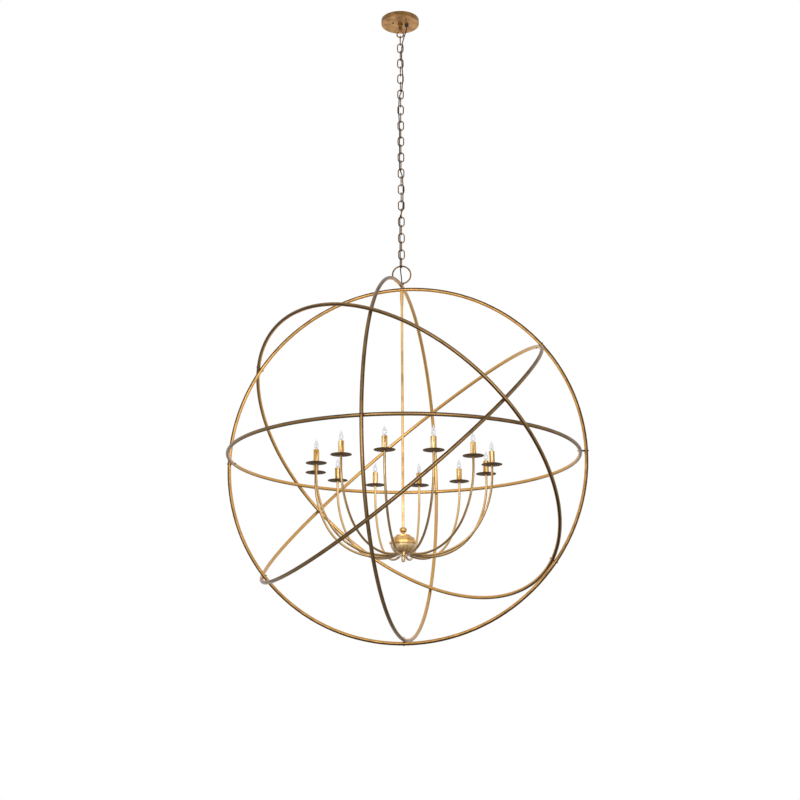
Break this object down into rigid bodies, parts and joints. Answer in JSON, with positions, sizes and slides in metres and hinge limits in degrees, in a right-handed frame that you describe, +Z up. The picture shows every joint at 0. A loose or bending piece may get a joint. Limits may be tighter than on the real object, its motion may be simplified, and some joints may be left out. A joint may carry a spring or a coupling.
{
  "type": "orb chandelier",
  "caption": "Hanging chandelier: crossed metal rings form an open orb on a chain, round a stem with a ball hub, swept candle arms, cups and clear flame bulbs.",
  "frame": {"origin": "on the ceiling at the centre of the mounting plate's upper face", "axes": "+Z up, +X to the right in the picture, +Y away from the picture's camera"},
  "size_m": [1.8156, 1.7987, 3.368],
  "materials": {
    "antique_gold": "antique gold leaf paint with brown patina",
    "dark_gold": "darker antique gold paint",
    "dark_bronze": "dark bronze paint",
    "zinc_steel": "zinc plated steel",
    "black_plastic": "moulded black plastic",
    "cord_jacket": "brown-black cord jacket",
    "connector_plastic": "moulded plastic",
    "base_brass": "rolled brass",
    "clear_glass": "clear glass",
    "filament_steel": "drawn wire"
  },
  "bodies": {
    "canopy": {"mounting_plate": "zinc_steel", "canopy": "dark_gold", "canopy_screws": "dark_bronze", "canopy_nipple": "zinc_steel", "nipple_nut": "zinc_steel", "canopy_collar": "dark_gold", "canopy_loop": "dark_gold", "wire_connectors": "connector_plastic", "cord_bushing": "black_plastic", "cord_canopy": "cord_jacket"},
    "first_link": {"chain_link_first": "dark_gold", "cord_first_link": "cord_jacket"},
    "chain": {"chain_links_middle": "dark_gold", "cord_chain": "cord_jacket"},
    "next_last_link": {"chain_link_next_last": "dark_gold", "cord_next_last_link": "cord_jacket"},
    "last_link": {"chain_link_last": "dark_gold", "cord_last_link": "cord_jacket"},
    "orb": {"top_loop": "antique_gold", "top_nipple": "zinc_steel", "ring_face": "antique_gold", "ring_cross": "antique_gold", "ring_level": "antique_gold", "ring_low_left": "antique_gold", "ring_high_left": "antique_gold", "ring_bolts": "dark_bronze", "ring_nuts": "dark_bronze", "ring_spacers": "dark_bronze", "stem_collar": "antique_gold", "stem": "antique_gold", "hub_knob": "antique_gold", "hub_cap": "antique_gold", "hub_bowl": "antique_gold", "hub_core": "zinc_steel", "arm_boss": "antique_gold", "finial": "antique_gold", "arm_01": "antique_gold", "arm_02": "antique_gold", "arm_03": "antique_gold", "arm_04": "antique_gold", "arm_05": "antique_gold", "arm_06": "antique_gold", "arm_07": "antique_gold", "arm_08": "antique_gold", "arm_09": "antique_gold", "arm_10": "antique_gold", "arm_11": "antique_gold", "arm_12": "antique_gold", "arm_nipples": "zinc_steel", "cups": "dark_bronze", "candle_sleeves": "antique_gold", "sockets": "black_plastic", "bulb_bases": "base_brass", "bulb_glass": "clear_glass", "filaments": "filament_steel", "cord_orb": "cord_jacket"}
  },
  "joints": [
    {"name": "hang_x", "type": "hinge", "parent": "canopy", "child": "first_link", "pos_m": [0, 0, -0.1031], "axis": [1, 0, 0], "range_deg": [-25, 25], "deforming": ["cord_canopy"]},
    {"name": "hang_y", "type": "hinge", "parent": "first_link", "child": "chain", "pos_m": [0, 0, -0.14825], "axis": [0, 1, 0], "range_deg": [-25, 25], "deforming": ["cord_first_link"]},
    {"name": "chain_twist", "type": "hinge", "parent": "chain", "child": "next_last_link", "pos_m": [0, 0, -1.33125], "axis": [0, 0, 1], "range_deg": [-25, 25], "deforming": ["cord_next_last_link"]},
    {"name": "swing_x", "type": "hinge", "parent": "next_last_link", "child": "last_link", "pos_m": [0, 0, -1.37675], "axis": [1, 0, 0], "range_deg": [-25, 25], "deforming": ["cord_last_link"]},
    {"name": "swing_y", "type": "hinge", "parent": "last_link", "child": "orb", "pos_m": [0, 0, -1.42225], "axis": [0, 1, 0], "range_deg": [-25, 25], "deforming": ["cord_orb"]}
  ]
}
